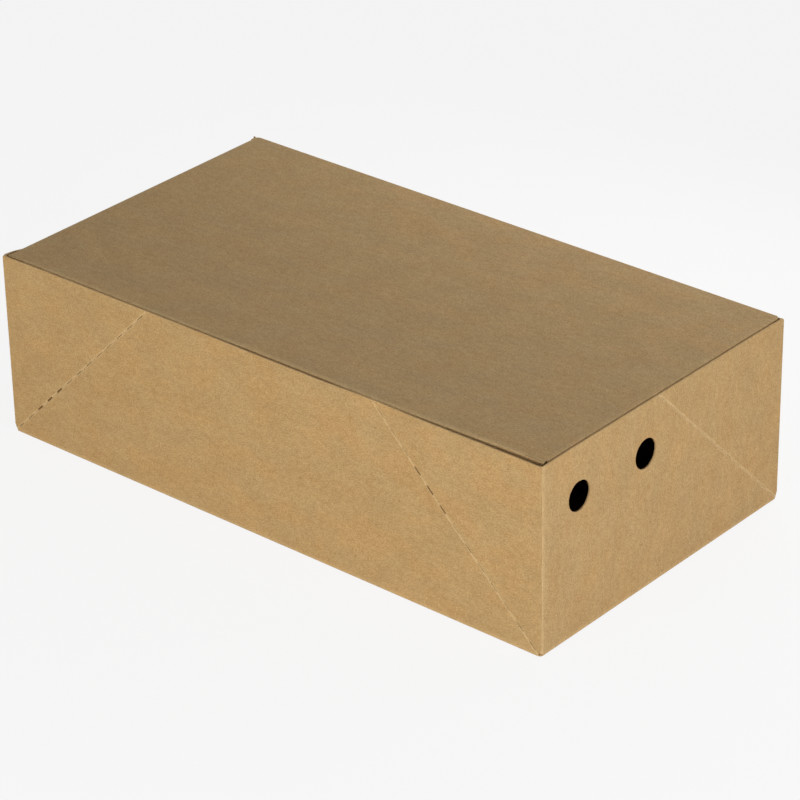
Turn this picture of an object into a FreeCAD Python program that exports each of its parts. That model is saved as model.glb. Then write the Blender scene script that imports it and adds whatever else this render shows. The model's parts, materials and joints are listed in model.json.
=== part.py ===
"""Folding carton: one die-cut sheet of solid kraft board, creased and glued at its four corners
into a tray, with a tuck-in lid hinged along the top of the back wall.

The sheet is a single piece. It is written here as two solids, tray and lid, because the lid
turns on its crease. Both stand as they are with the lid closed.

Frame: millimetres, +X along the length towards the end wall with the two vent holes, +Y from
the front wall to the back wall, +Z up. Origin: centre of the base's outline, on its underside.
"""

import FreeCAD, Part

import math
import os

V = FreeCAD.Vector

# Board
board = 0.6             # thickness of the sheet
bend = 0.2              # inside radius of every crease

# Tray, outside sizes
length = 275.0
depth = 150.0
height = 80.0           # underside of the base to the rim

# Glued corners
glue_bite = 0.05        # how far two glued faces press into each other
raw_setback = 0.25      # raw wall ends stop this far short of the corner that they cover
relief = 0.6            # die-cut notch where three creases meet at a bottom corner
relief_rise = 2.6       # height over which a raw wall end slants back to that notch
rim_corner = 0.5        # corner of the front wall where its raw end meets the rim
worn_corner = 1.2       # the same corner of an end wall, at the back
flap_reach = 36.0       # glue flap, from its crease to its free edge
flap_drop = 0.1         # top of a glue flap below the rim, at its crease
flap_slope = 8.0        # degrees that its top edge falls towards its free edge
flap_round = 4.0        # radius of its free corners

# Perforated creases that let the glued tray fold flat, at 45 degrees from each bottom corner
crease_margin = 1.5     # glue flaps stay this far off a perforated crease
cut_length = 4.0
cut_pitch = 8.5
cut_width = 0.3
cut_inset = 3.0         # solid board left at both ends of a perforated crease

# Vent holes, in the end wall on the +X side
vent_diameter = 12.5
vent_drop = 21.5        # rim to the centres
vent_from_front = 22.3  # outside of the front wall to the first centre
vent_spacing = 40.0

# Lid
hinge_gap = 0.2         # board left out on each side of the hinge line, beyond half a thickness
side_gap = 0.35         # lid's side flaps to the glue flaps beside them
front_gap = 0.65        # lid's front fold to the glue flaps before it
tip_gap = 0.35          # tuck flap's tip to the glue flaps as it swings past them
tuck_length = 25.0      # tuck flap, measured down from the rim
tuck_taper = 7.0        # how much each end of the tuck flap slants in towards its tip
tuck_round = 9.0        # radius of its tip corners
slit = 8.0              # the front fold is cut through over this length at each end
side_flap = 12.0        # lid's side flaps, measured down from the rim
side_taper = 8.0        # how much each end of a side flap slants in towards its edge
side_round = 3.0        # radius of a side flap's corners
side_flap_start = 4.0   # hinge line to the back end of a side flap
corner_cut = 1.5        # front fold to the front end of a side flap
lid_round = 2.0         # radius of the lid's back corners

# Worked out from the sizes above
fold = bend + board                                 # outside radius of every crease
half_length = length / 2
half_depth = depth / 2
flap_face_x = half_length - board + glue_bite       # outer face of the back glue flaps
flap_face_y = half_depth - board + glue_bite        # outer face of the front glue flaps
hinge_y = half_depth - board / 2
hinge_z = height - board / 2
hinge_clear = board / 2 + hinge_gap
lid_half = flap_face_x - board - side_gap           # outer face of the lid's side flaps
lid_front = flap_face_y - board - front_gap         # hinge side is +Y, this is how far -Y it goes


def on_xy(z):
    return lambda u, v: V(u, v, z)


def on_xz(y):
    return lambda u, v: V(u, y, v)


def on_yz(x):
    return lambda u, v: V(x, u, v)


def rounded(corners, place):
    """Closed wire through corners (u, v, radius); every radius above 0 becomes a tangent arc."""
    points = [place(u, v) for u, v, radius in corners]
    edges = []
    count = len(corners)
    pen = None
    first = None
    for i, (u, v, radius) in enumerate(corners):
        here = points[i]
        start, middle, end = here, None, here
        if radius > 0:
            back = (points[i - 1] - here).normalize()
            ahead = (points[(i + 1) % count] - here).normalize()
            half_turn = back.getAngle(ahead) / 2
            trim = radius / math.tan(half_turn)
            start = here + back * trim
            end = here + ahead * trim
            to_centre = (back + ahead).normalize()
            middle = here + to_centre * (radius / math.sin(half_turn) - radius)
        if pen is not None:
            edges.append(Part.LineSegment(pen, start).toShape())
        else:
            first = start
        if middle is not None:
            edges.append(Part.Arc(start, middle, end).toShape())
        pen = end
    edges.append(Part.LineSegment(pen, first).toShape())
    return Part.Wire(edges)


def slab(corners, place, sweep):
    """Flat piece: a closed outline swept along a vector."""
    return Part.Face(rounded(corners, place)).extrude(sweep)


def creased(corner, end_a, end_b, place, sweep):
    """Two legs of board that meet in a crease, swept along a vector.

    corner is where the legs' outer faces would meet, and the ends lie on those faces.
    """
    corner, end_a, end_b = (V(u, v, 0) for u, v in (corner, end_a, end_b))
    a = (end_a - corner).normalize()
    b = (end_b - corner).normalize()
    inside = corner + (a + b).normalize() * (board / math.sin(a.getAngle(b) / 2))
    through_a = (b - a * a.dot(b)).normalize() * board
    through_b = (a - b * a.dot(b)).normalize() * board
    outline = [
        (end_a, 0), (corner, fold), (end_b, 0),
        (end_b + through_b, 0), (inside, bend), (end_a + through_a, 0),
    ]
    return slab([(point.x, point.y, radius) for point, radius in outline], place, sweep)


def mirrored(shape):
    """The same shape at the other end of the length."""
    return shape.mirror(V(0, 0, 0), V(1, 0, 0))


def perforations(near, far, place, sweep):
    """Cuts along a crease that rises at 45 degrees from (near, 0) to the rim, towards far."""
    toward = 1 if far > near else -1
    run = height * math.sqrt(2) - 2 * cut_inset
    count = int((run - cut_length) // cut_pitch) + 1
    spare = run - cut_length - (count - 1) * cut_pitch
    half_width = cut_width / 2 / math.sqrt(2)
    cuts = []
    for i in range(count):
        low = (cut_inset + spare / 2 + i * cut_pitch) / math.sqrt(2)
        high = low + cut_length / math.sqrt(2)
        corners = [
            (near + toward * (low + half_width), low - half_width, 0),
            (near + toward * (high + half_width), high - half_width, 0),
            (near + toward * (high - half_width), high + half_width, 0),
            (near + toward * (low - half_width), low + half_width, 0),
        ]
        cuts.append(slab(corners, place, sweep))
    return cuts


def base():
    x = half_length - fold
    y = half_depth - fold
    return slab([(-x, -y, 0), (x, -y, 0), (x, y, 0), (-x, y, 0)], on_xy(0), V(0, 0, board))


def bottom_crease_along_x(side):
    """Fold between the base and the front (side -1) or back (side +1) wall."""
    end = half_length - fold - relief
    y = side * half_depth
    inner_y = side * (half_depth - 2 * fold)
    return creased((y, 0), (inner_y, 0), (y, 2 * fold), on_yz(-end), V(2 * end, 0, 0))


def bottom_crease_along_y():
    """Fold between the base and the +X end wall."""
    front = -flap_face_y + fold
    back = half_depth - fold - relief
    x = half_length
    return creased((x, 0), (x - 2 * fold, 0), (x, 2 * fold), on_xz(front), V(0, back - front, 0))


def front_wall():
    """Covers the corner folds with its raw ends, and carries two perforated creases."""
    low = half_length - fold - relief
    end = half_length - raw_setback
    outline = [
        (-low, fold, 0),
        (low, fold, 0),
        (end, fold + relief_rise, 0),
        (end, height, rim_corner),
        (-end, height, rim_corner),
        (-end, fold + relief_rise, 0),
    ]
    face = on_xz(-half_depth)
    through = V(0, board, 0)
    wall = slab(outline, face, through)
    for end_side in (-1, 1):
        wall = wall.cut(perforations(end_side * half_length, 0, face, through))
    return wall


def back_wall():
    """Ends just under the hinge line; its own ends turn the corner as glue flaps."""
    x = flap_face_x - fold
    top = hinge_z - hinge_clear
    low = x - relief
    outline = [(-low, fold, 0), (low, fold, 0), (x, fold + relief_rise, 0),
               (x, top, 0), (-x, top, 0), (-x, fold + relief_rise, 0)]
    return slab(outline, on_xz(half_depth - board), V(0, board, 0))


def end_wall():
    """The +X end: raw at the back, where it covers a glue flap, and perforated above it."""
    front = -flap_face_y + fold
    back = half_depth - raw_setback
    outline = [
        (front, fold, 0),
        (half_depth - fold - relief, fold, 0),
        (back, fold + relief_rise, 0),
        (back, height, worn_corner),
        (front, height, 0),
    ]
    face = on_yz(half_length - board)
    through = V(board, 0, 0)
    wall = slab(outline, face, through)
    return wall.cut(perforations(half_depth, 0, face, through))


def flap_outline(crease, inward, corner, top):
    """Glue flap that stays above the perforated crease of the wall it is glued to.

    crease is where the flap's own fold ends, corner the tray's corner, both along the wall.
    """
    free = crease + inward * flap_reach
    set_back = crease_margin * math.sqrt(2)
    fall = flap_reach * math.tan(math.radians(flap_slope))
    return [
        (crease, abs(corner - crease) + set_back, 0),
        (free, abs(corner - free) + set_back, flap_round),
        (free, top - fall, flap_round),
        (crease, top, 0),
    ]


def front_glue_flap():
    """The +X end wall's front end: it turns the corner and lies behind the front wall."""
    crease = half_length - fold
    top = height - flap_drop
    outline = flap_outline(crease, -1, half_length, top)
    flap = slab(outline, on_xz(-flap_face_y), V(0, board, 0))
    x, y = half_length, -flap_face_y
    low = fold + relief
    up = V(0, 0, top - low)
    return flap.fuse(creased((x, y), (x, y + 2 * fold), (x - 2 * fold, y), on_xy(low), up))


def back_glue_flap():
    """The back wall's +X end: it turns the corner and lies behind the end wall."""
    crease = half_depth - fold
    top = hinge_z - hinge_clear
    outline = flap_outline(crease, -1, half_depth, top)
    flap = slab(outline, on_yz(flap_face_x - board), V(board, 0, 0))
    x, y = flap_face_x, half_depth
    low = fold + relief
    up = V(0, 0, top - low)
    return flap.fuse(creased((x, y), (x - 2 * fold, y), (x, y - 2 * fold), on_xy(low), up))


def vent_holes():
    z = height - vent_drop
    x = half_length - board
    holes = []
    for i in range(2):
        y = -half_depth + vent_from_front + i * vent_spacing
        holes.append(Part.makeCylinder(vent_diameter / 2, board, V(x, y, z), V(1, 0, 0)))
    return holes


def tray():
    end = end_wall()
    end_pieces = [bottom_crease_along_y(), front_glue_flap(), back_glue_flap()]
    pieces = [front_wall(), back_wall(), bottom_crease_along_x(-1), bottom_crease_along_x(1)]
    pieces += [end.cut(vent_holes()), mirrored(end)]
    pieces += end_pieces + [mirrored(piece) for piece in end_pieces]
    return base().multiFuse(pieces).removeSplitter()


def lid_panel():
    """Flat top of the lid, wider at its hinge end, where it has no side flaps."""
    back = hinge_y - hinge_clear
    step = hinge_y - side_flap_start
    inner = lid_half - fold
    front = -lid_front + fold
    outline = [
        (-inner, front, 0), (inner, front, 0), (inner, step, 0), (lid_half, step, 0),
        (lid_half, back, lid_round), (-lid_half, back, lid_round), (-lid_half, step, 0),
        (-inner, step, 0),
    ]
    return slab(outline, on_xy(height - board), V(0, 0, board))


def tuck_flap():
    """Front fold and tuck flap, leaning in so that its tip swings clear of the glue flaps.

    Past the slits the flap's raw edge stands free at the rim, just in front of the panel's.
    """
    swing = hinge_y + flap_face_y - board - tip_gap
    tip_below = tuck_length - board / 2
    tip_y = hinge_y - math.sqrt(swing ** 2 - tip_below ** 2)
    tip_z = height - tuck_length
    half = lid_half - fold
    corner = (-lid_front, height)
    panel_side = (-lid_front + 2 * fold, height)
    folded = half - slit
    strip = creased(corner, panel_side, (tip_y, tip_z), on_yz(-folded), V(2 * folded, 0, 0))
    lean = math.atan2(tip_y + lid_front, tuck_length)
    cut_free = [
        (-lid_front, height, 0),
        (tip_y, tip_z, 0),
        (tip_y + board * math.cos(lean), tip_z + board * math.sin(lean), 0),
        (-lid_front + board / math.cos(lean), height, 0),
    ]
    for start in (-half, folded):
        strip = strip.fuse(slab(cut_free, on_yz(start), V(slit, 0, 0)))
    tip = half - tuck_taper
    shoulder = height - fold
    front = -lid_front - board
    outline = [
        (-half, height, 0), (-half, shoulder, 0), (-tip, tip_z, tuck_round),
        (tip, tip_z, tuck_round), (half, shoulder, 0), (half, height, 0),
    ]
    return strip.common(slab(outline, on_xz(front), V(0, tuck_length, 0)))


def lid_side_flap():
    """The +X side fold and its short flap."""
    back = hinge_y - side_flap_start
    front = -lid_front + fold + corner_cut
    low = height - side_flap
    corner = (lid_half, height)
    panel_side = (lid_half - 2 * fold, height)
    strip = creased(corner, panel_side, (lid_half, low), on_xz(front), V(0, back - front, 0))
    shoulder = height - fold
    outline = [
        (front, height, 0), (front, shoulder, 0), (front + side_taper, low, side_round),
        (back - side_taper, low, side_round), (back, shoulder, 0), (back, height, 0),
    ]
    return strip.common(slab(outline, on_yz(lid_half - 2 * fold), V(2 * fold, 0, 0)))


def lid():
    flap = lid_side_flap()
    return lid_panel().multiFuse([tuck_flap(), flap, mirrored(flap)]).removeSplitter()


def main():
    os.makedirs("parts", exist_ok=True)
    for name, shape in (("tray", tray()), ("lid", lid())):
        shape.exportStep(f"parts/{name}.step")


main()
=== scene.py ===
"""Kraft card carton: the finish of its folded sheet, and the stage that it is shown on.

Metres, +Z up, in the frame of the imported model. Each operator makes one piece or the stage.
"""

import json
import math
import random

import bmesh
import bpy
from bpy.props import FloatProperty, FloatVectorProperty, IntProperty, PointerProperty
from mathutils import Matrix, Vector, noise
from mathutils.bvhtree import BVHTree

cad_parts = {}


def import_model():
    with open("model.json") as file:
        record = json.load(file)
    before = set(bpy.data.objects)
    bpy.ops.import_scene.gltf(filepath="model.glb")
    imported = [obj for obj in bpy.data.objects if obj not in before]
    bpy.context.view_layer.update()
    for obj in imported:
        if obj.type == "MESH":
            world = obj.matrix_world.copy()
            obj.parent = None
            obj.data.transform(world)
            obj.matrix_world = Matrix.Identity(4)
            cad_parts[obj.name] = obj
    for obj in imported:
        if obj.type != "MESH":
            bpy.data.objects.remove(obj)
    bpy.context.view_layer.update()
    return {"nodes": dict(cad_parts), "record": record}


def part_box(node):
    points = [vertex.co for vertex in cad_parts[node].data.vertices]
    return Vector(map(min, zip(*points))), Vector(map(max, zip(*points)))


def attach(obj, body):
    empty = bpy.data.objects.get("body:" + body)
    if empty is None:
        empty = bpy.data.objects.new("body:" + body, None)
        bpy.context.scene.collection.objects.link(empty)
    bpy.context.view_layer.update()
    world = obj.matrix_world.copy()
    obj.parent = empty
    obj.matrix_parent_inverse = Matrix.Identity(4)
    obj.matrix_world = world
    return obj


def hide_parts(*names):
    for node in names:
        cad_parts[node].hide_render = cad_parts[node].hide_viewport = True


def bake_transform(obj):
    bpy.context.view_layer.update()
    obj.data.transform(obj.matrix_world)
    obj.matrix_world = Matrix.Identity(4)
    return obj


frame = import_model()

bl_info = {
    "name": "Kraft Carton",
    "version": (1, 0, 0),
    "blender": (4, 5, 0),
    "location": "View3D > Sidebar > Carton",
    "description": "A folding carton of kraft board with a tuck-in lid",
    "category": "Add Mesh",
}

MM = 0.001
TO_MM = 1000
TRAY_LOW, TRAY_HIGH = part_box("tray")
LID_LOW, LID_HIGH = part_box("lid")
AXES = (Vector((1, 0, 0)), Vector((0, 1, 0)), Vector((0, 0, 1)))

# mesh work: points closer than MERGE are one, a bend under FLAT is none and one over SHARP is an
# edge, and JUST_INSIDE is the smallest step off a face; a face with more than EDGE_DEPTH
# thicknesses of board behind it is the sheet's raw edge
MERGE = 0.0001 * MM
JUST_INSIDE = 0.01 * MM
EDGE_DEPTH = 2.5
FLAT = math.radians(0.5)
SHARP = math.radians(40)

# a point this near the outside belongs to that wall: front and ends, then back wall and lid
WALL_SKIN = 1.4 * MM
PANEL_SKIN = 1.2 * MM

# what lies deeper than this behind a wall is its glue flap; the inner face's shift on the blank
FLAP_DEPTH = 0.9 * MM
INNER_SHIFT = 1.0

# where the board is held still, as shares of the half length, half width or height
STILL_CORNER_X = (0.80, 0.985)
STILL_CORNER_Y = (0.72, 0.97)
STILL_FOOT = (0, 0.3)
STILL_PANEL_X = (0.55, 0.985)
STILL_PANEL_Y = (0.5, 0.975)

# front rim: from where to where its lean grows leftwards, and the stretch that the pinch takes
BOW_RUN = (12 * MM, -38 * MM)
PINCH_REACH = 26 * MM
PINCH_RISE = (0.4, 1.0)

# left end wall: the run behind the front over which it gives, and where it is firm again
GIVE_RUN = (2 * MM, 16 * MM)
GIVE_RISE = (0.1, 1)
FIRM_RUN = (18 * MM, 32 * MM)
FIRM_SHARE = 0.65

# lid's front: the depth that shifts, the set-back's run to the right, the parts that come forward
SHIFT_RUN = (-15 * MM, LID_LOW.y + 3 * MM)
SET_BACK_RUN = (72 * MM, 128 * MM)
FORWARD_LEFT = 0.45 * MM
FORWARD_RUN = (5 * MM, -40 * MM)
FORWARD_PINCH = 0.50 * MM
FORWARD_REACH = 30 * MM
TUCK_DEPTH = 4 * MM

# the bevel across a front corner of the lid's panel, and how far its two ends spread
CORNER_CUT = 1.5 * MM
CORNER_NEAR = 1.15
SPREAD_OUT = 0.8 * MM
SPREAD_FORWARD = 0.6 * MM

# lengths of the slow waves in the front wall, the end walls, the lid's panel and its tuck flap
FRONT_WAVE, END_WAVE, PANEL_WAVE, TUCK_WAVE = 60 * MM, 50 * MM, 70 * MM, 50 * MM

# how wide a perforated cut stands open, as a share of its punched width, by its number from the
# bottom; the cuts that are not listed lie nearly shut
SHUT_CUT = 0.22
GAPING_FRONT_RIGHT = {0: 0.8, 1: 0.6, 5: 0.5, 7: 0.9, 8: 1.5, 9: 1.3}
GAPING_FRONT_LEFT = {2: 0.4, 3: 0.6, 4: 0.5}
GAPING_ENDS = {0: 0.3, 1: 0.4, 5: 0.4, 6: 0.3}
CUT_RIM = 0.17 * MM
CUT_SKIN = 0.7 * MM

# the cuts of the front wall, to the left and to the right, round which the dark dashes of painted
# shade show most
DARKEST_LEFT = 3
DARKEST_RIGHT = 8

# how strongly each fold shows pale, as rubbed fibre and a painted highlight
FOOT_WEAR_AND_HIGHLIGHT = 0.45
CORNER_WEAR_AND_HIGHLIGHT = 0.35
BACK_CORNER_WEAR_AND_HIGHLIGHT = 0.7
TUCK_WEAR_AND_HIGHLIGHT = 0.45
LID_SIDE_WEAR_AND_HIGHLIGHT = 0.1
HINGE_WEAR_AND_HIGHLIGHT = 0.6

# in thicknesses of board: how deep the corner folds are told from the wall in front of them
CORNER_FROM = 0.8
CORNER_FOLD = 0.9
BACK_CORNER_FROM = 0.85

# the closer pair of mesh cuts beside a fold ends where its pale band of rubbed fibre and painted
# highlight does and at this share of it
NEAR_WEAR_AND_HIGHLIGHT = 0.4


def srgb(red, green, blue):
    """A screen colour of 0 to 255 as the linear colour that sockets take."""
    def linear(value):
        value /= 255
        return value / 12.92 if value <= 0.04045 else ((value + 0.055) / 1.055) ** 2.4
    return (linear(red), linear(green), linear(blue))


class CartonBoard(bpy.types.PropertyGroup):
    """The sheet: its thickness and folds, and the colours of its kraft fibre."""

    thickness: FloatProperty(
        name="Thickness", description="Thickness of the sheet", default=0.6 * MM, unit="LENGTH")
    fold: FloatProperty(
        name="Fold", description="Outside radius of a fold", default=0.8 * MM, unit="LENGTH")
    vent: FloatProperty(
        name="Vent hole", description="Diameter of a punched vent hole",
        default=12.5 * MM, unit="LENGTH")
    cell: FloatProperty(
        name="Cell", description="Size of the mesh cells that let the sheet bow",
        default=6.0 * MM, min=1.0 * MM, unit="LENGTH")
    # the pale band beside a fold is rubbed fibre and a painted highlight where the fold catches the
    # light
    wear_and_highlight: FloatProperty(
        name="Fold wear", description="How far the pale wear of a fold runs onto the flat board",
        default=1.3 * MM, min=0.1 * MM, unit="LENGTH")
    colour: FloatVectorProperty(
        name="Board", description="Colour of the kraft face",
        default=srgb(189, 155, 103), subtype="COLOR")
    # the pale fibre colour also gives the painted highlight on the folds and beside the perforated
    # creases
    pale: FloatVectorProperty(
        name="Pale fibre", description="Colour of the palest fibres",
        default=srgb(226, 199, 152), subtype="COLOR")
    # the dark fibre colour also gives the painted shade over the front wall's cuts
    deep: FloatVectorProperty(
        name="Dark fibre", description="Colour of the darkest fibres and flecks",
        default=srgb(120, 88, 48), subtype="COLOR")
    warm: FloatVectorProperty(
        name="Warm patch", description="Colour that the warmer patches lean to",
        default=srgb(197, 154, 98), subtype="COLOR")
    green: FloatVectorProperty(
        name="Green patch", description="Colour that the cooler patches lean to",
        default=srgb(183, 156, 110), subtype="COLOR")
    edge: FloatVectorProperty(
        name="Raw edge", description="Colour of the board's cut edge",
        default=srgb(206, 178, 132), subtype="COLOR")


class CartonFit(bpy.types.PropertyGroup):
    """How the folded board departs from flat: small bows, set-backs and sags."""

    front_bow: FloatProperty(
        name="Front wall bow", description="How far the front rim leans in on the left",
        default=0.35 * MM, min=0, max=0.6 * MM, unit="LENGTH")
    back_bow: FloatProperty(
        name="Back wall bow", description="How far the middle of the back wall leans in",
        default=0.36 * MM, min=0, max=0.6 * MM, unit="LENGTH")
    end_lean: FloatProperty(
        name="End lean", description="How far the rims of the end walls lean in",
        default=0.18 * MM, min=0, max=0.5 * MM, unit="LENGTH")
    left_give: FloatProperty(
        name="Left give", description="How far the rim of the left end wall leans in",
        default=0.7 * MM, min=0, max=0.8 * MM, unit="LENGTH")
    left_drop: FloatProperty(
        name="Left drop", description="How far that rim hangs below the lid",
        default=1.5 * MM, min=0, max=2.0 * MM, unit="LENGTH")
    pinch: FloatProperty(
        name="Pinch", description="How far the front rim leans in where a perforated crease ends",
        default=0.6 * MM, min=0, max=0.7 * MM, unit="LENGTH")
    pinch_at: FloatProperty(
        name="Pinch at", description="Where along the length that is",
        default=57.5 * MM, unit="LENGTH")
    lid_gap: FloatProperty(
        name="Lid gap", description="How far the lid's whole front sits back from a close fit",
        default=0.3 * MM, min=0, max=1.0 * MM, unit="LENGTH")
    lid_slack: FloatProperty(
        name="Lid set-back", description="How far the lid's front right corner sits back",
        default=1.2 * MM, min=0, max=1.5 * MM, unit="LENGTH")
    lid_sag: FloatProperty(
        name="Lid sag", description="How far the middle of the lid hangs",
        default=0.5 * MM, min=0, max=1.5 * MM, unit="LENGTH")
    ripple: FloatProperty(
        name="Ripple", description="Size of the board's slight waves",
        default=0.12 * MM, min=0, max=0.3 * MM, unit="LENGTH")
    first_cut: FloatProperty(
        name="First cut", description="From a bottom corner to the middle of the lowest cut",
        default=5.57 * MM, unit="LENGTH")
    cut_pitch: FloatProperty(
        name="Cut pitch", description="From one cut of a perforated crease to the next",
        default=8.5 * MM, unit="LENGTH")
    seed: IntProperty(name="Seed", description="Picks another set of waves", default=4)


class CartonStage(bpy.types.PropertyGroup):
    """Camera, floor and lights."""

    azimuth: FloatProperty(
        name="Azimuth", description="Direction of the camera round the carton",
        default=math.radians(40.85), subtype="ANGLE")
    elevation: FloatProperty(
        name="Elevation", description="Height of the camera above the horizon",
        default=math.radians(28.42), subtype="ANGLE")
    roll: FloatProperty(
        name="Roll", description="Turn of the picture about the line of sight",
        default=math.radians(-0.99), subtype="ANGLE")
    distance: FloatProperty(
        name="Distance", description="From the camera to the carton's origin",
        default=1.397, unit="LENGTH")
    aim_right: FloatProperty(
        name="Aim right", description="How far right of the origin the camera looks",
        default=4.7 * MM, unit="LENGTH")
    aim_up: FloatProperty(
        name="Aim up", description="How far above the origin the camera looks",
        default=25.6 * MM, unit="LENGTH")
    lens: FloatProperty(
        name="Lens", description="Focal length on a 36 mm wide picture, in millimetres",
        default=156.1)
    backdrop: FloatVectorProperty(
        name="Backdrop", description="Colour of the floor and of what lies behind it",
        default=srgb(246, 246, 246), subtype="COLOR")
    ambient: FloatProperty(
        name="Ambient", description="Light from all round", default=0.22, min=0)
    floor_glow: FloatProperty(
        name="Floor glow", description="Share of the backdrop's colour that shadow leaves alone",
        default=0.94, min=0, max=1)
    floor_shade: FloatProperty(
        name="Floor shade", description="How much of the light on the floor shows",
        default=0.10, min=0, max=1)


def smooth(low, high, value):
    """0 at low, 1 at high, with a soft start and end."""
    share = min(max((value - low) / (high - low), 0), 1)
    return share * share * (3 - 2 * share)


def hump(value, middle, reach):
    """1 at middle, softly down to 0 at reach to either side."""
    return 1 - smooth(0, reach, abs(value - middle))


def waves(point, size, seed):
    """Slow ripple from 0 to 1, the same on both faces of the board.

    Places are taken to the nearest millimetre, and each seed looks at another part of the noise.
    """
    spot = Vector(round(value, 3) for value in point) / size
    return 0.5 + 0.5 * noise.noise(spot + seed * Vector((7.3, 3.1, 5.7)))


def settled_tray(point, fit):
    """Where a point of the tray lies once its walls have bowed a little, always inwards."""
    along, across, up = (abs(point[i]) / TRAY_HIGH[i] for i in range(3))
    moved = point.copy()
    corner_x = 1 - smooth(*STILL_CORNER_X, along)
    corner_y = 1 - smooth(*STILL_CORNER_Y, across)
    if point.y < TRAY_LOW.y + WALL_SKIN:
        lean = fit.front_bow * smooth(*BOW_RUN, point.x) * up ** 2 * corner_x
        pinch = fit.pinch * hump(point.x, fit.pinch_at, PINCH_REACH) * smooth(*PINCH_RISE, up)
        ripple = fit.ripple * waves(point, FRONT_WAVE, fit.seed)
        moved.y += lean + pinch + ripple * smooth(*STILL_FOOT, up) * corner_x
    elif point.y > TRAY_HIGH.y - PANEL_SKIN:
        moved.y -= fit.back_bow * math.sin(math.pi * up) * corner_x
    elif along > 1 - WALL_SKIN / TRAY_HIGH.x:
        ripple = fit.ripple * waves(point, END_WAVE, fit.seed + 1) + fit.end_lean * up ** 2
        lean = ripple * smooth(*STILL_FOOT, up) * corner_y
        if point.x < 0:
            # the left end wall gives a little, so that its rim hangs below the lid
            give = smooth(*GIVE_RUN, point.y - TRAY_LOW.y) * smooth(*GIVE_RISE, up)
            firm = 1 - FIRM_SHARE * smooth(*FIRM_RUN, point.y)
            lean = max(lean, fit.left_give * give) * firm
            moved.z -= fit.left_drop * give * up
        moved.x -= math.copysign(lean, point.x)
    return moved


def settled_lid(point, fit):
    """Where a point of the lid lies once it has sagged and its front has shifted."""
    moved = point.copy()
    along = abs(point.x) / LID_HIGH.x
    mid_y = (LID_LOW.y + LID_HIGH.y) / 2
    across = abs(point.y - mid_y) / (LID_HIGH.y - mid_y)
    back_off = fit.lid_gap + fit.lid_slack * smooth(*SET_BACK_RUN, point.x)
    forward = FORWARD_LEFT * smooth(*FORWARD_RUN, point.x)
    forward += FORWARD_PINCH * hump(point.x, fit.pinch_at, FORWARD_REACH)
    moved.y += (back_off - forward) * smooth(*SHIFT_RUN, point.y)
    flat = (1 - smooth(*STILL_PANEL_X, along)) * (1 - smooth(*STILL_PANEL_Y, across))
    sag = fit.lid_sag + 2 * fit.ripple * waves(point, PANEL_WAVE, fit.seed + 2)
    if point.z > LID_HIGH.z - PANEL_SKIN:
        moved.z -= sag * flat
        # the front corners spread a little, which shuts the notch beside the tuck flap
        from_side = (LID_HIGH.x - abs(point.x)) / CORNER_CUT
        from_front = (point.y - LID_LOW.y) / CORNER_CUT
        if max(from_side, from_front) < CORNER_NEAR:
            moved.x += math.copysign(SPREAD_OUT * min(from_side, 1), point.x)
            moved.y -= SPREAD_FORWARD * min(from_front, 1)
    elif point.y < LID_LOW.y + TUCK_DEPTH:
        hanging = smooth(LID_HIGH.z, LID_LOW.z, point.z)
        moved.y += 2 * fit.ripple * waves(point, TUCK_WAVE, fit.seed + 3) * hanging
    return moved


def closed_cut(point, fit):
    """A point on the rim of a perforated cut, moved so that most cuts lie nearly shut."""
    corner_x = TRAY_HIGH.x - abs(point.x)
    on_front = point.y < TRAY_LOW.y + CUT_SKIN
    on_end = corner_x < CUT_SKIN
    if not on_front and not on_end:
        return point
    run = corner_x if on_front else TRAY_HIGH.y - point.y
    off = (run - point.z) / math.sqrt(2)
    if abs(off) > CUT_RIM:
        return point
    number = round(((run + point.z) / math.sqrt(2) - fit.first_cut) / fit.cut_pitch)
    if on_front:
        gape = GAPING_FRONT_RIGHT if point.x > 0 else GAPING_FRONT_LEFT
    else:
        gape = GAPING_ENDS
    push = off * (gape.get(number, SHUT_CUT) - 1) / math.sqrt(2)
    moved = point.copy()
    moved.z -= push
    if on_front:
        moved.x -= math.copysign(push, point.x)
    else:
        moved.y -= push
    return moved


def fold_wear_and_highlight(name, point, board):
    """Pale band of a fold, rubbed fibre and a painted highlight: 1 on a fold, fading to 0 a little
    way onto the flat board beside it.
    """
    x, y, z = point
    ax = abs(x)
    lines = []
    if name == "tray":
        lines.append((TRAY_HIGH.y - abs(y), z, FOOT_WEAR_AND_HIGHLIGHT))
        lines.append((TRAY_HIGH.x - ax, z, FOOT_WEAR_AND_HIGHLIGHT))
        if y > TRAY_LOW.y + CORNER_FROM * board.thickness:
            behind = y - TRAY_LOW.y - CORNER_FOLD * board.thickness
            lines.append((TRAY_HIGH.x - ax, behind, CORNER_WEAR_AND_HIGHLIGHT))
        if ax < TRAY_HIGH.x - BACK_CORNER_FROM * board.thickness:
            lines.append((TRAY_HIGH.x - board.thickness - ax, TRAY_HIGH.y - y, BACK_CORNER_WEAR_AND_HIGHLIGHT))
    else:
        lines.append((y - LID_LOW.y, LID_HIGH.z - z, TUCK_WEAR_AND_HIGHLIGHT))
        lines.append((LID_HIGH.x - ax, LID_HIGH.z - z, LID_SIDE_WEAR_AND_HIGHLIGHT))
    most = 0
    for one, other, strength in lines:
        away = max(one, other) - board.fold
        most = max(most, strength * (1 - smooth(0, board.wear_and_highlight, away)))
    return most


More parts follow.
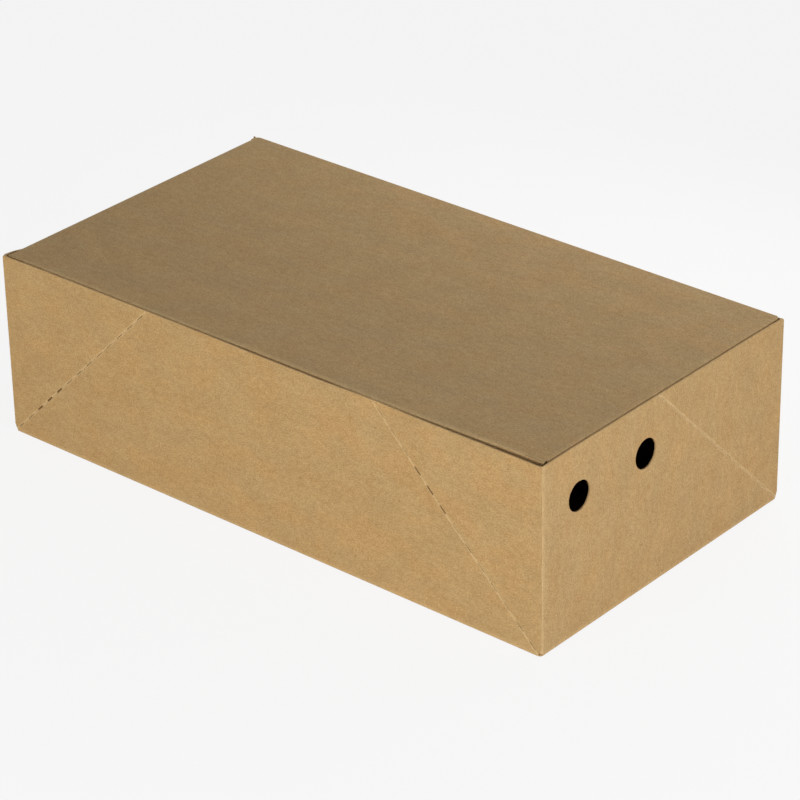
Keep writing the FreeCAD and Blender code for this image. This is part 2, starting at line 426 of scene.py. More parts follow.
def blank_spot(name, point, normal):
    """Place of a point on the flat blank, in metres: u along the length, v across it.

    The inner face of the board gets a stretch of the pattern of its own.
    """
    x, y, z = point
    side = math.copysign(1, x)
    size = [abs(value) for value in normal]
    along = size.index(max(size))
    inner = False
    if name == "tray":
        if along == 2:
            u, v = x, y
            inner = normal.z > 0
        elif along == 0:
            inner = normal.x * x < 0
            if abs(x) < TRAY_HIGH.x - FLAP_DEPTH:
                u, v = side * (TRAY_HIGH.x + TRAY_HIGH.y - y), TRAY_HIGH.y + z
            else:
                u, v = side * (TRAY_HIGH.x + z), y
        else:
            inner = normal.y * y < 0
            if TRAY_LOW.y + FLAP_DEPTH < y < 0:
                u, v = side * (TRAY_HIGH.x + z), TRAY_LOW.y - TRAY_HIGH.x + abs(x)
            else:
                u, v = x, math.copysign(TRAY_HIGH.y + z, y)
    else:
        hinge_v = TRAY_HIGH.y + TRAY_HIGH.z
        if along == 2:
            u, v = x, hinge_v + LID_HIGH.y - y
            inner = normal.z < 0
        elif along == 0:
            u, v = side * (LID_HIGH.x + LID_HIGH.z - z), hinge_v + LID_HIGH.y - y
            inner = normal.x * x < 0
        else:
            u, v = x, hinge_v + LID_HIGH.y - LID_LOW.y + LID_HIGH.z - z
            inner = normal.y > 0
    return u + (INNER_SHIFT if inner else 0), v


def mark_raw_edges(bm, thickness):
    """Gives the second material to faces that look along the board: its cut edges."""
    tree = BVHTree.FromBMesh(bm)
    for face in bm.faces:
        inward = -face.normal
        start = face.calc_center_median() + inward * JUST_INSIDE
        deep = tree.ray_cast(start, inward)[3]
        face.material_index = 1 if deep is None or deep > EDGE_DEPTH * thickness else 0


def cuts(low, high, cell, near_edges):
    """Even steps between two limits, and a closer pair beside each."""
    count = max(1, round((high - low) / cell))
    made = [low + (high - low) * i / count for i in range(1, count)]
    for away in near_edges:
        made += [low + away, high - away]
    return made


def sheet_from(name, board, fit):
    """The folded sheet of one CAD node as a finer mesh that has settled a little."""
    node = frame["nodes"][name]
    low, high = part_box(name)
    bm = bmesh.new()
    bm.from_mesh(node.data)
    bmesh.ops.remove_doubles(bm, verts=bm.verts, dist=MERGE)
    mark_raw_edges(bm, board.thickness)
    bmesh.ops.dissolve_limit(
        bm, angle_limit=FLAT, use_dissolve_boundaries=False, verts=bm.verts,
        edges=bm.edges, delimit={"NORMAL", "MATERIAL"})
    beside = (board.fold + board.wear_and_highlight, board.fold + NEAR_WEAR_AND_HIGHLIGHT * board.wear_and_highlight)
    for axis, normal in enumerate(AXES):
        for place in cuts(low[axis], high[axis], board.cell, beside):
            bmesh.ops.bisect_plane(
                bm, geom=bm.verts[:] + bm.edges[:] + bm.faces[:], dist=MERGE,
                plane_co=normal * place, plane_no=normal)
    bmesh.ops.triangulate(bm, faces=[face for face in bm.faces if len(face.verts) > 4])
    # the pale band of the folds, rubbed fibre and a painted highlight, is kept on the points
    wear_and_highlight = bm.verts.layers.float.new("fold_wear_and_highlight")
    blank = bm.loops.layers.uv.new("blank")
    bm.normal_update()
    for vert in bm.verts:
        vert[wear_and_highlight] = fold_wear_and_highlight(name, vert.co, board)
    for face in bm.faces:
        face.smooth = True
        for loop in face.loops:
            loop[blank].uv = blank_spot(name, loop.vert.co, face.normal)
    for vert in bm.verts:
        if name == "tray":
            vert.co = settled_tray(closed_cut(vert.co, fit), fit)
        else:
            vert.co = settled_lid(vert.co, fit)
    mesh = bpy.data.meshes.new(name + "_sheet")
    bm.to_mesh(mesh)
    bm.free()
    old = mesh.attributes.get("custom_normal")
    if old:
        mesh.attributes.remove(old)
    mesh.set_sharp_from_angle(angle=SHARP)
    return mesh


def placed(name, mesh, *materials):
    """A piece of the carton, shown in the scene."""
    made = bpy.data.objects.new(name, mesh)
    for each in materials:
        mesh.materials.append(each)
    bpy.context.scene.collection.objects.link(made)
    return made


def material(name):
    """A fresh node material; returns it with its nodes, links and main shader."""
    made = bpy.data.materials.new(name)
    made.use_nodes = True
    tree = made.node_tree
    return made, tree.nodes, tree.links, tree.nodes["Principled BSDF"]


def group(name, takes, gives):
    """A shader node group; returns the tree with its input and output nodes."""
    tree = bpy.data.node_groups.new(name, "ShaderNodeTree")
    for label, kind in takes:
        tree.interface.new_socket(label, in_out="INPUT", socket_type=kind)
    for label, kind in gives:
        tree.interface.new_socket(label, in_out="OUTPUT", socket_type=kind)
    return tree, tree.nodes.new("NodeGroupInput"), tree.nodes.new("NodeGroupOutput")


def math_node(tree, operation, one, other=None):
    """A math node on one or two sockets or numbers; returns its output."""
    node = tree.nodes.new("ShaderNodeMath")
    node.operation = operation
    for socket, value in zip(node.inputs, (one, other)):
        if value is None:
            continue
        if isinstance(value, bpy.types.NodeSocket):
            tree.links.new(value, socket)
        else:
            socket.default_value = value
    return node.outputs[0]


def span(tree, value, low, high, start=0.0, end=1.0, smooth_step=True):
    """value from low..high mapped to start..end, clamped."""
    node = tree.nodes.new("ShaderNodeMapRange")
    node.interpolation_type = "SMOOTHSTEP" if smooth_step else "LINEAR"
    for label, setting in (("From Min", low), ("From Max", high),
                           ("To Min", start), ("To Max", end)):
        node.inputs[label].default_value = setting
    tree.links.new(value, node.inputs["Value"])
    return node.outputs["Result"]


def mix(tree, share, one, other):
    """Mix of two colours, each a socket or an RGB triple."""
    node = tree.nodes.new("ShaderNodeMix")
    node.data_type = "RGBA"
    colours = [socket for socket in node.inputs if socket.type == "RGBA"]
    for socket, value in zip((node.inputs["Factor"], *colours), (share, one, other)):
        if isinstance(value, bpy.types.NodeSocket):
            tree.links.new(value, socket)
        elif isinstance(value, (int, float)):
            socket.default_value = value
        else:
            socket.default_value = (*value, 1)
    return next(socket for socket in node.outputs if socket.type == "RGBA")


def noise_node(tree, vector, scale=1.0, detail=2.0, rough=0.5, distortion=0.0):
    """A noise texture on the vector; returns its grey value."""
    node = tree.nodes.new("ShaderNodeTexNoise")
    node.inputs["Scale"].default_value = scale
    node.inputs["Detail"].default_value = detail
    node.inputs["Roughness"].default_value = rough
    node.inputs["Distortion"].default_value = distortion
    tree.links.new(vector, node.inputs["Vector"])
    return node.outputs["Fac"]


def stretched(tree, vector, angle, scale, shift=(0, 0, 0)):
    """The vector turned in the sheet's plane, scaled and shifted."""
    node = tree.nodes.new("ShaderNodeMapping")
    node.inputs["Rotation"].default_value = (0, 0, math.radians(angle))
    node.inputs["Scale"].default_value = scale
    node.inputs["Location"].default_value = shift
    tree.links.new(vector, node.inputs["Vector"])
    return node.outputs["Vector"]


# the kraft fibre: how often each pattern changes per millimetre along and across the sheet
FINE_PER_MM = (1.15, 1.9, 1)
SOFT_PER_MM = (0.30, 0.48, 1)
CLOUD_PER_MM = (0.060, 0.085, 1)
HUE_PER_MM = (0.045, 0.07, 1)
HAIR_PER_MM = (0.42, 5.5, 1)
SPECKS_PER_MM = 0.22
SPECK_STRETCH = (0.8, 1.2, 1)

# share of the fine pattern in the grain, hairs as an angle and a shift each, and what shows
FINE_SHARE = 0.80
HAIR_LAYERS = ((3, (0, 0, 0)), (38, (17, 41, 0)), (-34, (53, 5, 0)), (81, (9, 77, 0)))
HAIR_SEEN = (0.64, 0.78)
HAIR_HEIGHT = 0.35
SPECK_RIM = (0.10, 0.045)
SPECK_PICK = (0.55, 0.8)


def fibre_group():
    """Kraft fibre: takes millimetres on the sheet, gives grain, cloud, hue, hairs and specks."""
    tree, start, end = group(
        "kraft_fibre", [("Sheet", "NodeSocketVector")],
        [("Grain", "NodeSocketFloat"), ("Cloud", "NodeSocketFloat"), ("Hue", "NodeSocketFloat"),
         ("Hair", "NodeSocketFloat"), ("Speck", "NodeSocketFloat"), ("Height", "NodeSocketFloat")])
    sheet = start.outputs["Sheet"]
    fine = noise_node(tree, stretched(tree, sheet, 0, FINE_PER_MM), detail=3.0, rough=0.75)
    soft = noise_node(tree, stretched(tree, sheet, 8, SOFT_PER_MM, (31, 7, 0)))
    grain = math_node(tree, "ADD", math_node(tree, "MULTIPLY", fine, FINE_SHARE),
                      math_node(tree, "MULTIPLY", soft, 1 - FINE_SHARE))
    cloud = noise_node(tree, stretched(tree, sheet, 0, CLOUD_PER_MM, (5, 90, 0)))
    hue = noise_node(tree, stretched(tree, sheet, 20, HUE_PER_MM, (71, 13, 0)), detail=3.0,
                     rough=0.6)
    hair = None
    for angle, shift in HAIR_LAYERS:
        strand = noise_node(tree, stretched(tree, sheet, angle, HAIR_PER_MM, shift), detail=1.0,
                            distortion=0.35)
        seen = span(tree, strand, *HAIR_SEEN)
        hair = seen if hair is None else math_node(tree, "MAXIMUM", hair, seen)
    spots = tree.nodes.new("ShaderNodeTexVoronoi")
    spots.inputs["Scale"].default_value = SPECKS_PER_MM
    tree.links.new(stretched(tree, sheet, 15, SPECK_STRETCH), spots.inputs["Vector"])
    near = span(tree, spots.outputs["Distance"], *SPECK_RIM)
    pick = tree.nodes.new("ShaderNodeSeparateColor")
    tree.links.new(spots.outputs["Color"], pick.inputs["Color"])
    speck = math_node(tree, "MULTIPLY", near, span(tree, pick.outputs["Red"], *SPECK_PICK))
    height = math_node(tree, "ADD", grain, math_node(tree, "MULTIPLY", hair, HAIR_HEIGHT))
    for label, value in (("Grain", grain), ("Cloud", cloud), ("Hue", hue), ("Hair", hair),
                         ("Speck", speck), ("Height", height)):
        tree.links.new(value, end.inputs[label])
    return tree


# perforated crease: how deep its marks reach into the board, and in millimetres off its middle
# where the pressed line and the pale lips beside it, a painted highlight, are full and where they
# are gone
CREASE_DEPTH = 2 * MM
LINE_HALF = (0.10, 0.55)
LIP_HALF = (0.25, 0.9)

# dashes of painted shade over the cuts: in cuts, how far from the darkest they fade and where one
# ends; in millimetres, its side
DASH_REACH = (1.9, 0.9)
DASH_FAINT = 0.18
DASH_END = (0.25, 0.19)
DASH_SIDE = (0.58, 0.28)


def crease_group(fit):
    """Perforated crease: takes the object's own metres, gives its line, its lips, which carry a
    painted highlight, and its cuts, which carry dashes of painted shade.
    """
    tree, start, end = group(
        "perforated_crease", [("Place", "NodeSocketVector")],
        [("Line", "NodeSocketFloat"), ("Lip", "NodeSocketFloat"), ("Dash", "NodeSocketFloat")])
    parts = tree.nodes.new("ShaderNodeSeparateXYZ")
    tree.links.new(start.outputs["Place"], parts.inputs["Vector"])
    x, y, z = math_node(tree, "ABSOLUTE", parts.outputs["X"]), parts.outputs["Y"], parts.outputs["Z"]
    # front wall: x falls from the corner as z rises; end walls: y falls from the back corner
    on_front = math_node(tree, "LESS_THAN", y, TRAY_LOW.y + CREASE_DEPTH)
    on_end = math_node(tree, "GREATER_THAN", x, TRAY_HIGH.x - CREASE_DEPTH)
    front = math_node(tree, "SUBTRACT", math_node(tree, "SUBTRACT", TRAY_HIGH.x, z), x)
    side = math_node(tree, "SUBTRACT", math_node(tree, "SUBTRACT", TRAY_HIGH.y, z), y)
    off_front, off_side = (
        math_node(tree, "ABSOLUTE", math_node(tree, "MULTIPLY", off, TO_MM / math.sqrt(2)))
        for off in (front, side))
    # the pale lips give a painted highlight beside the pressed line
    for label, full, gone in (("Line", *LINE_HALF), ("Lip", *LIP_HALF)):
        one = math_node(tree, "MULTIPLY", span(tree, off_front, gone, full), on_front)
        two = math_node(tree, "MULTIPLY", span(tree, off_side, gone, full), on_end)
        tree.links.new(math_node(tree, "MAXIMUM", one, two), end.inputs[label])
    # dashes of painted shade over the front wall's cuts, dark round one cut on the left and one on
    # the right
    run = math_node(tree, "MULTIPLY", math_node(
        tree, "ADD", math_node(tree, "SUBTRACT", TRAY_HIGH.x, x), z), 1 / math.sqrt(2))
    number = math_node(tree, "DIVIDE", math_node(tree, "SUBTRACT", run, fit.first_cut),
                       fit.cut_pitch)
    from_cut = math_node(tree, "ABSOLUTE", math_node(
        tree, "SUBTRACT", number, math_node(tree, "ROUND", number)))
    on_right = math_node(tree, "GREATER_THAN", parts.outputs["X"], 0.0)
    darkest = math_node(tree, "ADD", DARKEST_LEFT, math_node(
        tree, "MULTIPLY", on_right, DARKEST_RIGHT - DARKEST_LEFT))
    from_darkest = math_node(tree, "ABSOLUTE", math_node(tree, "SUBTRACT", number, darkest))
    shown = span(tree, from_darkest, *DASH_REACH, DASH_FAINT, 1.0)
    dash = math_node(tree, "MULTIPLY", span(tree, from_cut, *DASH_END), on_front)
    dash = math_node(tree, "MULTIPLY", dash, span(tree, off_front, *DASH_SIDE))
    tree.links.new(math_node(tree, "MULTIPLY", dash, shown), end.inputs["Dash"])
    return tree


def use(tree, made, **takes):
    """Places a node group, fed with the given sockets; returns its outputs."""
    node = tree.nodes.new("ShaderNodeGroup")
    node.node_tree = made
    for label, value in takes.items():
        tree.links.new(value, node.inputs[label])
    return node.outputs


def sheet_place(tree):
    """Millimetres on the flat blank."""
    uv = tree.nodes.new("ShaderNodeUVMap")
    uv.uv_map = "blank"
    scaled = tree.nodes.new("ShaderNodeVectorMath")
    scaled.operation = "SCALE"
    scaled.inputs["Scale"].default_value = TO_MM
    tree.links.new(uv.outputs["UV"], scaled.inputs[0])
    return scaled.outputs["Vector"]


# the stretch of each pattern's grey over which its effect grows
HUE_SPAN = (0.33, 0.67)
GRAIN_SPAN = (0.34, 0.66)
CLOUD_SPAN = (0.30, 0.70)
WEAR_AND_HIGHLIGHT_SPAN = (0.25, 0.60)
LIP_SPAN = (0.36, 0.58)
ROUGH_SPAN = (0.3, 0.7)

# how strongly each layer of the face shows over the one below; pairs follow the grain
HUE_SHARE = 0.60
DARK_SHARE = 0.42
LIGHT_SHARE = 0.50
CLOUD_SHARE = 0.10
HAIR_SHARE = 0.30
SPECK_SHARE = 0.55
WEAR_AND_HIGHLIGHT_SHARE = (0.25, 0.75)
LIP_SHARE = (0.16, 0.6)
DASH_SHARE = 0.85
FACE_ROUGHNESS = (0.97, 0.84)
WEAR_AND_HIGHLIGHT_GLOSS = 0.08

# relief of the face, in millimetres
GRAIN_HEIGHT = 0.06
LINE_DEPTH = 0.20


def kraft_face(board, fibre, crease):
    """The face of the board: mottled brown fibre, paler where it is folded from rubbed fibre and a
    painted highlight, with a painted highlight beside the perforated creases and painted shade over
    their cuts.
    """
    made, nodes, links, shader = material("kraft_face")
    tree = made.node_tree
    look = use(tree, fibre, Sheet=sheet_place(tree))
    place = nodes.new("ShaderNodeTexCoord")
    line = use(tree, crease, Place=place.outputs["Object"])
    wear_and_highlight = nodes.new("ShaderNodeAttribute")
    wear_and_highlight.attribute_name = "fold_wear_and_highlight"
    hue = mix(tree, span(tree, look["Hue"], *HUE_SPAN), board.green, board.warm)
    base = mix(tree, HUE_SHARE, board.colour, hue)
    dark = mix(tree, DARK_SHARE, base, board.deep)
    light = mix(tree, LIGHT_SHARE, base, board.pale)
    tone = mix(tree, span(tree, look["Grain"], *GRAIN_SPAN, smooth_step=False), dark, light)
    shade = span(tree, look["Cloud"], *CLOUD_SPAN, CLOUD_SHARE, 0.0)
    cloudy = mix(tree, shade, tone, board.deep)
    hairy = mix(tree, math_node(tree, "MULTIPLY", look["Hair"], HAIR_SHARE), cloudy, board.pale)
    speckled = mix(tree, math_node(tree, "MULTIPLY", look["Speck"], SPECK_SHARE), hairy, board.deep)
    # folds turn pale: rubbed fibre and a painted highlight where a fold catches the light
    broken_wear_and_highlight = math_node(tree, "MULTIPLY", wear_and_highlight.outputs["Fac"],
                       span(tree, look["Grain"], *WEAR_AND_HIGHLIGHT_SPAN, *WEAR_AND_HIGHLIGHT_SHARE))
    worn_and_highlit = mix(tree, broken_wear_and_highlight, speckled, board.pale)
    # pale lips beside the perforated creases: a painted highlight where the raised board catches the
    # light
    lip = math_node(tree, "MULTIPLY", line["Lip"],
                    span(tree, look["Grain"], *LIP_SPAN, *LIP_SHARE))
    with_lip_highlight = mix(tree, lip, worn_and_highlit, board.pale)
    # dashes darken the face over the front wall's cuts: painted shade, since the cuts lie nearly
    # shut
    torn = mix(tree, math_node(tree, "MULTIPLY", line["Dash"], DASH_SHARE), with_lip_highlight, board.deep)
    links.new(torn, shader.inputs["Base Color"])
    rough = span(tree, look["Grain"], *ROUGH_SPAN, *FACE_ROUGHNESS, smooth_step=False)
    links.new(math_node(tree, "SUBTRACT", rough, math_node(tree, "MULTIPLY", broken_wear_and_highlight, WEAR_AND_HIGHLIGHT_GLOSS)),
              shader.inputs["Roughness"])
    shader.inputs["Specular IOR Level"].default_value = 0.06
    shader.inputs["Sheen Weight"].default_value = 0.10
    shader.inputs["Sheen Roughness"].default_value = 0.35
    height = math_node(
        tree, "SUBTRACT", math_node(tree, "MULTIPLY", look["Height"], GRAIN_HEIGHT),
        math_node(tree, "MULTIPLY", line["Line"], LINE_DEPTH))
    bump = nodes.new("ShaderNodeBump")
    bump.inputs["Distance"].default_value = MM
    bump.inputs["Strength"].default_value = 0.9
    links.new(height, bump.inputs["Height"])
    links.new(bump.outputs["Normal"], shader.inputs["Normal"])
    return made


# the cut edge: how often its fibre and its patches change, how dark the patches get, its relief
EDGE_FINE_PER_MM = 2.6
EDGE_PATCH_PER_MM = 0.22
EDGE_PATCH_SPAN = (0.35, 0.65)
EDGE_SHADE = 0.25
EDGE_RELIEF = 0.12


def raw_edge(board):
    """The cut edge of the board: paler, open fibre."""
    made, nodes, links, shader = material("raw_edge")
    tree = made.node_tree
    place = nodes.new("ShaderNodeTexCoord")
    own = stretched(tree, place.outputs["Object"], 0, (TO_MM, TO_MM, TO_MM))
    fine = noise_node(tree, own, EDGE_FINE_PER_MM, detail=3.0, rough=0.6)
    patch = noise_node(tree, own, EDGE_PATCH_PER_MM)
    pale = mix(tree, span(tree, fine, *ROUGH_SPAN, smooth_step=False), board.colour, board.edge)
    shade = mix(tree, span(tree, patch, *EDGE_PATCH_SPAN, EDGE_SHADE, 0.0), pale, board.deep)
    links.new(shade, shader.inputs["Base Color"])
    shader.inputs["Roughness"].default_value = 0.92
    shader.inputs["Specular IOR Level"].default_value = 0.2
    bump = nodes.new("ShaderNodeBump")
    bump.inputs["Distance"].default_value = MM
    bump.inputs["Strength"].default_value = 0.8
    links.new(math_node(tree, "MULTIPLY", fine, EDGE_RELIEF), bump.inputs["Height"])
    links.new(bump.outputs["Normal"], shader.inputs["Normal"])
    return made


def finishes():
    """The two finishes of the board, made once."""
    board = bpy.context.scene.carton_board
    face = bpy.data.materials.get("kraft_face")
    edge = bpy.data.materials.get("raw_edge")
    if face is None:
        face = kraft_face(board, fibre_group(), crease_group(bpy.context.scene.carton_fit))
    if edge is None:
        edge = raw_edge(board)
    return face, edge


class CARTON_OT_sheet(bpy.types.Operator):
    """Makes the tray and the lid as one settled, finished sheet of board"""

    bl_idname = "carton.sheet"
    bl_label = "Folded sheet"

    def execute(self, context):
        board, fit = context.scene.carton_board, context.scene.carton_fit
        for name in ("tray", "lid"):
            piece = placed(name + "_sheet", sheet_from(name, board, fit), *finishes())
            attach(piece, name)
            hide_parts(name)
        return {"FINISHED"}


# hinge crease: how far it stops short of the lid's sides, its lap over both panels, and the
# steps of its bend
HINGE_INSET = 1.6 * MM
HINGE_LAP = math.radians(8)
HINGE_STEPS = 8


class CARTON_OT_hinge(bpy.types.Operator):
    """Makes the crease that joins the back wall to the lid"""

    bl_idname = "carton.hinge"
    bl_label = "Hinge crease"

    def execute(self, context):
        board = context.scene.carton_board
        half = LID_HIGH.x - HINGE_INSET
        outer = TRAY_HIGH.y - LID_HIGH.y
        centre = Vector((-half, LID_HIGH.y, LID_HIGH.z - outer))
        bm = bmesh.new()
        rim = []
        for radius in (outer, outer - board.thickness):
            row = []
            for i in range(HINGE_STEPS + 1):
                angle = -HINGE_LAP + (math.pi / 2 + 2 * HINGE_LAP) * i / HINGE_STEPS
                reach = radius - JUST_INSIDE
                row.append(bm.verts.new(centre + Vector(
                    (0, reach * math.cos(angle), reach * math.sin(angle)))))
            rim += row if radius == outer else row[::-1]
        face = bm.faces.new(rim)
        count = round(2 * half / board.cell)
        grown = [face]
        for _ in range(count):
            made = bmesh.ops.extrude_face_region(bm, geom=grown)["geom"]
            grown = [item for item in made if isinstance(item, bmesh.types.BMFace)]
            verts = [item for item in made if isinstance(item, bmesh.types.BMVert)]
            bmesh.ops.translate(bm, verts=verts, vec=(2 * half / count, 0, 0))
        # the faces that the extrusion leaves inside; the two end caps stay
        between = [item for item in bm.faces if abs(item.normal.x) > 0.9
                   and half - abs(item.calc_center_median().x) > JUST_INSIDE]
        bmesh.ops.delete(bm, geom=between, context="FACES_ONLY")
        bmesh.ops.recalc_face_normals(bm, faces=bm.faces)
        # the hinge turns pale: rubbed fibre and a painted highlight where the fold catches the light
        wear_and_highlight = bm.verts.layers.float.new("fold_wear_and_highlight")
        blank = bm.loops.layers.uv.new("blank")
        for vert in bm.verts:
            vert[wear_and_highlight] = HINGE_WEAR_AND_HIGHLIGHT
        for each in bm.faces:
            each.smooth = True
            for loop in each.loops:
                x, y, z = loop.vert.co
                loop[blank].uv = (x, TRAY_HIGH.y + TRAY_HIGH.z + (z - centre.z) - (y - centre.y))
        mesh = bpy.data.meshes.new("hinge_crease")
        bm.to_mesh(mesh)
        bm.free()
        mesh.set_sharp_from_angle(angle=SHARP)
        piece = placed("hinge_crease", mesh, *finishes())
        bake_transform(piece)
        return {"FINISHED"}


def vent_centres():
    """Centres of the vent holes on the outside of the end wall, from the record's openings."""
    found = []
    for opening in frame["record"]["physics"]["openings"]:
        if opening["name"].startswith("vent"):
            low, high = (Vector(corner) for corner in opening["box_m"])
            found.append(Vector((TRAY_HIGH.x, *((low + high) / 2)[1:])))
    return found


# torn fibres: lengths and radii in millimetres, and how far their roots lie behind the hole's rim
FIBRE_SEED = 11
FIBRES_PER_HOLE = 26
FIBRE_LENGTH = (0.12, 0.38)
FIBRE_RADIUS = (0.03, 0.06)
FIBRE_ROOT = 0.05 * MM

# how deep in the board they start, in thicknesses, how they stray, and how thin their tips are
FIBRE_DEEP = (0.15, 0.5)
FIBRE_INWARD = 0.35
FIBRE_STRAY = 0.3
FIBRE_TIP = 0.25

# the larger shred of each hole, as angle, length and radius: at the top, then towards the back
SHREDS = ((math.radians(78), 0.75 * MM, 0.26 * MM), (math.radians(5), 0.65 * MM, 0.24 * MM))


class CARTON_OT_fibres(bpy.types.Operator):
    """Makes the torn fibres that the punch left round the vent holes"""

    bl_idname = "carton.fibres"
    bl_label = "Torn fibres"

    def execute(self, context):
        board = context.scene.carton_board
        radius = board.vent / 2
        draw = random.Random(FIBRE_SEED)
        bm = bmesh.new()
        for number, centre in enumerate(vent_centres()):
            hairs = [(math.radians(draw.uniform(0, 360)), draw.uniform(*FIBRE_LENGTH) * MM,
                      draw.uniform(*FIBRE_RADIUS) * MM) for _ in range(FIBRES_PER_HOLE)]
            for angle, length, width in hairs + [SHREDS[number]]:
                out = Vector((0, math.cos(angle), math.sin(angle)))
                deep = draw.uniform(*FIBRE_DEEP) * board.thickness
                root = centre + out * (radius + FIBRE_ROOT) + Vector((-deep - width, 0, 0))
                stray = Vector((-draw.uniform(0.0, FIBRE_INWARD),
                                draw.uniform(-FIBRE_STRAY, FIBRE_STRAY),
                                draw.uniform(-FIBRE_STRAY, FIBRE_STRAY)))
                aim = (stray - out).normalized()
                turn = aim.to_track_quat("Z", "Y").to_matrix().to_4x4()
                bmesh.ops.create_cone(
                    bm, cap_ends=True, segments=6, radius1=width, radius2=width * FIBRE_TIP,
                    depth=length, matrix=Matrix.Translation(root + aim * length / 2) @ turn)
        for face in bm.faces:
            face.smooth = len(face.verts) == 4
        mesh = bpy.data.meshes.new("vent_fibres")
        bm.to_mesh(mesh)
        bm.free()
        piece = placed("vent_fibres", mesh, finishes()[1])
        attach(piece, "tray")
        return {"FINISHED"}


def sun(name, toward, strength, spread):
    """A soft directional lamp; toward is the direction from the carton to the lamp."""
    light = bpy.data.lights.new(name, "SUN")
    light.energy = strength
    light.angle = math.radians(spread)
    lamp = bpy.data.objects.new(name, light)
    lamp.rotation_mode = "QUATERNION"
    lamp.rotation_quaternion = Vector(toward).to_track_quat("Z", "Y")
    bpy.context.scene.collection.objects.link(lamp)


def panel_light(name, place, aim, width, height, watts, colour):
    """A soft rectangular lamp at place that shines on aim."""
    light = bpy.data.lights.new(name, "AREA")
    light.shape = "RECTANGLE"
    light.size = width
    light.size_y = height
    light.energy = watts
    light.color = colour
    lamp = bpy.data.objects.new(name, light)
    lamp.location = place
    lamp.rotation_mode = "QUATERNION"
    lamp.rotation_quaternion = (Vector(place) - Vector(aim)).to_track_quat("Z", "Y")
    lamp.visible_camera = False
    bpy.context.scene.collection.objects.link(lamp)


# name, place, aim, width, height, watts and colour of each lamp: the first lights the front wall,
# the second the end wall, and the third skims the lid from behind
PANEL_LIGHTS = (
    ("key", (0.04, -1.05, 0.20), (0.0, -0.075, 0.02), 0.9, 0.5, 6.9, (1.0, 0.965, 0.90)),
    ("side", (0.88, -0.25, 0.24), (0.137, 0.0, 0.02), 0.6, 0.4, 4.8, (0.96, 0.97, 1.0)),
    ("sheen", (0.03, 0.28, 0.20), (0.05, 0.0, 0.08), 0.38, 0.08, 0.46, (1.0, 0.96, 0.93)),
)
FILL_TOWARD = (-0.7, 1.0, 0.10)

# colour of the floor's own bounce and of the light from all round; the floor's half width, and
# how far it lies below the carton
FLOOR_BOUNCE = (0.68, 0.58, 0.44)
AROUND_COLOUR = (1.0, 0.98, 0.98)
FLOOR_HALF = 8
FLOOR_DROP = 0.1 * MM


def seen_directly(nodes, links):
    """A mask that is 1 for what the camera, a mirror or glass sees, and 0 for light."""
    path = nodes.new("ShaderNodeLightPath")
    total = None
    for ray in ("Is Camera Ray", "Is Glossy Ray", "Is Transmission Ray"):
        if total is None:
            total = path.outputs[ray]
            continue
        both = nodes.new("ShaderNodeMath")
        both.operation = "MAXIMUM"
        links.new(total, both.inputs[0])
        links.new(path.outputs[ray], both.inputs[1])
        total = both.outputs[0]
    return total


def floor_material(stage):
    """A pale floor that takes a faint shadow and sends plain light back up."""
    made, nodes, links, shader = material("floor")
    shader.inputs["Base Color"].default_value = (*FLOOR_BOUNCE, 1)
    shader.inputs["Roughness"].default_value = 1.0
    shader.inputs["Specular IOR Level"].default_value = 0.0
    pale = nodes.new("ShaderNodeEmission")
    pale.inputs["Color"].default_value = (*stage.backdrop, 1)
    pale.inputs["Strength"].default_value = stage.floor_glow
    soft = nodes.new("ShaderNodeBsdfDiffuse")
    soft.inputs["Color"].default_value = (*[stage.floor_shade] * 3, 1)
    both = nodes.new("ShaderNodeAddShader")
    links.new(pale.outputs[0], both.inputs[0])
    links.new(soft.outputs[0], both.inputs[1])
    pick = nodes.new("ShaderNodeMixShader")
    links.new(seen_directly(nodes, links), pick.inputs["Fac"])
    links.new(shader.outputs[0], pick.inputs[1])
    links.new(both.outputs[0], pick.inputs[2])
    links.new(pick.outputs[0], nodes["Material Output"].inputs["Surface"])
    return made


def world(stage):
    """Even light from all round, and the backdrop's colour where it is seen."""
    made = bpy.data.worlds.new("backdrop")
    made.use_nodes = True
    nodes, links = made.node_tree.nodes, made.node_tree.links
    light = nodes["Background"]
    light.inputs["Color"].default_value = (*AROUND_COLOUR, 1)
    light.inputs["Strength"].default_value = stage.ambient
    shown = nodes.new("ShaderNodeBackground")
    shown.inputs["Color"].default_value = (*stage.backdrop, 1)
    pick = nodes.new("ShaderNodeMixShader")
    links.new(seen_directly(nodes, links), pick.inputs["Fac"])
    links.new(light.outputs[0], pick.inputs[1])
    links.new(shown.outputs[0], pick.inputs[2])
    links.new(pick.outputs[0], nodes["World Output"].inputs["Surface"])
    bpy.context.scene.world = made


def camera(stage):
    """The camera, level with its own roll, aimed a little off the carton's origin."""
    a, e = stage.azimuth, stage.elevation
    back = Vector((math.sin(a) * math.cos(e), -math.cos(a) * math.cos(e), math.sin(e)))
    right = Vector((math.cos(a), math.sin(a), 0))
    up = back.cross(right)
    turn = Matrix.Rotation(stage.roll, 3, back)
    right, up = turn @ right, turn @ up
    lens = bpy.data.cameras.new("camera")
    lens.lens = stage.lens
    lens.sensor_width = 36
    made = bpy.data.objects.new("camera", lens)
    made.matrix_world = Matrix((right, up, back)).transposed().to_4x4()
    made.location = back * stage.distance + right * stage.aim_right + up * stage.aim_up
    bpy.context.scene.collection.objects.link(made)
    bpy.context.scene.camera = made


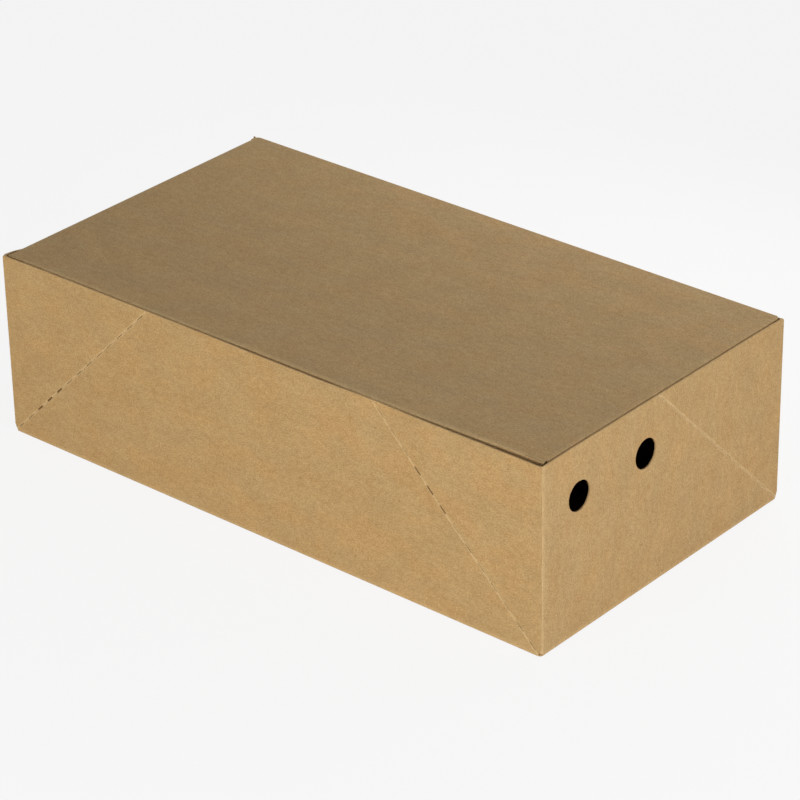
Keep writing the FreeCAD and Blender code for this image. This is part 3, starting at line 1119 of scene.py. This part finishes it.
class CARTON_OT_stage(bpy.types.Operator):
    """Makes the floor, the lights and the camera"""

    bl_idname = "carton.stage"
    bl_label = "Stage"

    def execute(self, context):
        stage = context.scene.carton_stage
        context.scene.view_settings.view_transform = "Standard"
        bm = bmesh.new()
        bmesh.ops.create_grid(bm, x_segments=1, y_segments=1, size=FLOOR_HALF)
        bmesh.ops.translate(bm, verts=bm.verts, vec=(0, 0, -FLOOR_DROP))
        mesh = bpy.data.meshes.new("floor")
        bm.to_mesh(mesh)
        bm.free()
        floor = bpy.data.objects.new("floor", mesh)
        mesh.materials.append(floor_material(stage))
        context.scene.collection.objects.link(floor)
        world(stage)
        camera(stage)
        for lamp in PANEL_LIGHTS:
            panel_light(*lamp)
        sun("fill", FILL_TOWARD, strength=1.0, spread=40)
        return {"FINISHED"}


class CARTON_PT_panel(bpy.types.Panel):
    """Lists the carton's pieces, its fit and its sizes"""

    bl_idname = "CARTON_PT_panel"
    bl_label = "Carton"
    bl_space_type = "VIEW_3D"
    bl_region_type = "UI"
    bl_category = "Carton"

    def draw(self, context):
        for operator in OPERATORS:
            self.layout.operator(operator.bl_idname)
        for settings in (context.scene.carton_board, context.scene.carton_fit):
            box = self.layout.box()
            for name in settings.bl_rna.properties.keys():
                if name not in ("rna_type", "name"):
                    box.prop(settings, name)


OPERATORS = (CARTON_OT_sheet, CARTON_OT_hinge, CARTON_OT_fibres, CARTON_OT_stage)
CLASSES = (CartonBoard, CartonFit, CartonStage, *OPERATORS, CARTON_PT_panel)


def register():
    for made in CLASSES:
        bpy.utils.register_class(made)
    bpy.types.Scene.carton_board = PointerProperty(type=CartonBoard)
    bpy.types.Scene.carton_fit = PointerProperty(type=CartonFit)
    bpy.types.Scene.carton_stage = PointerProperty(type=CartonStage)


def unregister():
    del bpy.types.Scene.carton_stage
    del bpy.types.Scene.carton_fit
    del bpy.types.Scene.carton_board
    for made in reversed(CLASSES):
        bpy.utils.unregister_class(made)


def main():
    """Makes the carton and its stage."""
    register()
    bpy.ops.carton.sheet()
    bpy.ops.carton.hinge()
    bpy.ops.carton.fibres()
    bpy.ops.carton.stage()


if __name__ == "__main__":
    main()
